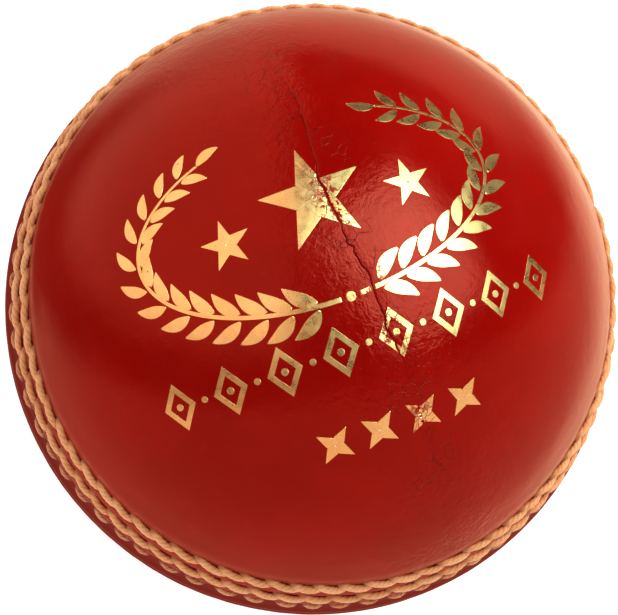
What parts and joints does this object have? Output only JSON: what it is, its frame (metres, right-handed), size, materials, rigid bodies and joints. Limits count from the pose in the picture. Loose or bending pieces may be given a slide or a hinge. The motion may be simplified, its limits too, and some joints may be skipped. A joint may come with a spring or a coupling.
{
  "type": "cricket ball",
  "caption": "Four-piece leather cricket ball with a raised equatorial seam of light thread over a quilted core of yarn and cork, for bowling and batting.",
  "frame": {"origin": "centre of the ball", "axes": "+Z through the poles, square to the plane of the stitched seam; +X along the quarter seam of the upper cup"},
  "size_m": [0.0726, 0.0726, 0.0714],
  "materials": {
    "cork_composite": "matte",
    "cork_sheet": "matte",
    "worsted_yarn": "matte",
    "lining_leather": "matte",
    "red_leather": "gloss",
    "seam_thread": "matte",
    "gold_foil": "satin"
  },
  "bodies": {
    "root": {"core_nucleus": "cork_composite", "yarn_winding_inner": "worsted_yarn", "cork_cup_inner_a": "cork_sheet", "cork_cup_inner_b": "cork_sheet", "yarn_winding_middle": "worsted_yarn", "cork_cup_outer_a": "cork_sheet", "cork_cup_outer_b": "cork_sheet", "yarn_winding_outer": "worsted_yarn", "lining_upper": "lining_leather", "lining_lower": "lining_leather", "leather_quarter_upper_a": "red_leather", "leather_quarter_upper_b": "red_leather", "leather_quarter_lower_a": "red_leather", "leather_quarter_lower_b": "red_leather", "quarter_seam_thread_upper": "seam_thread", "quarter_seam_thread_lower": "seam_thread", "stitch_row_upper_inner": "seam_thread", "stitch_row_upper_middle": "seam_thread", "stitch_row_upper_outer": "seam_thread", "stitch_row_lower_inner": "seam_thread", "stitch_row_lower_middle": "seam_thread", "stitch_row_lower_outer": "seam_thread"}
  },
  "joints": []
}
